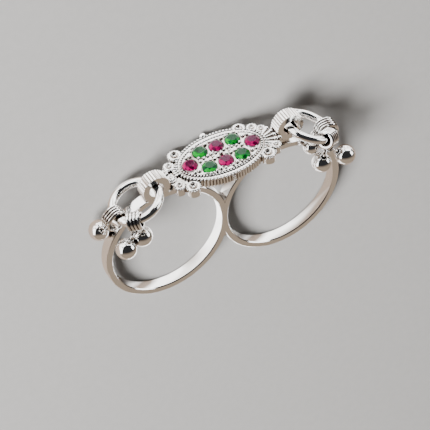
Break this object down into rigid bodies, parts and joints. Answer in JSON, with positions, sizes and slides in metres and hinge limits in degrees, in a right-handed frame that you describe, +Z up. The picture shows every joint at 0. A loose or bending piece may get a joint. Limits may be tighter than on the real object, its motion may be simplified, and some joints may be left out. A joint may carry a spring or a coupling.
{
  "type": "two-finger ring",
  "caption": "Two-finger ring: twin round bands under an oval plate of pink and green stones, with a link and ball drops at each end.",
  "frame": {"origin": "middle of the bounding box's base, on the surface that the ring lies on", "axes": "+X along the ring from its right end to its left end, +Z up, with the oval plate facing -Y"},
  "size_m": [0.0386, 0.0234, 0.0096],
  "materials": {
    "polished_silver": "polished",
    "pink_stone": "faceted, polished",
    "green_stone": "faceted, polished"
  },
  "bodies": {
    "root": {"ring_body": "polished_silver", "stone_tip_left": "pink_stone", "stone_back_left": "green_stone", "stone_back_middle": "pink_stone", "stone_back_right": "green_stone", "stone_front_left": "green_stone", "stone_front_middle": "pink_stone", "stone_front_right": "green_stone", "stone_tip_right": "pink_stone", "link_left": "polished_silver", "link_right": "polished_silver", "clip_left_end": "polished_silver", "clip_left_front": "polished_silver", "clip_right_end": "polished_silver", "clip_right_front": "polished_silver", "ball_left_end": "polished_silver", "ball_left_outer": "polished_silver", "ball_left_inner": "polished_silver", "ball_right_end": "polished_silver", "ball_right_outer": "polished_silver", "ball_right_inner": "polished_silver"}
  },
  "joints": []
}
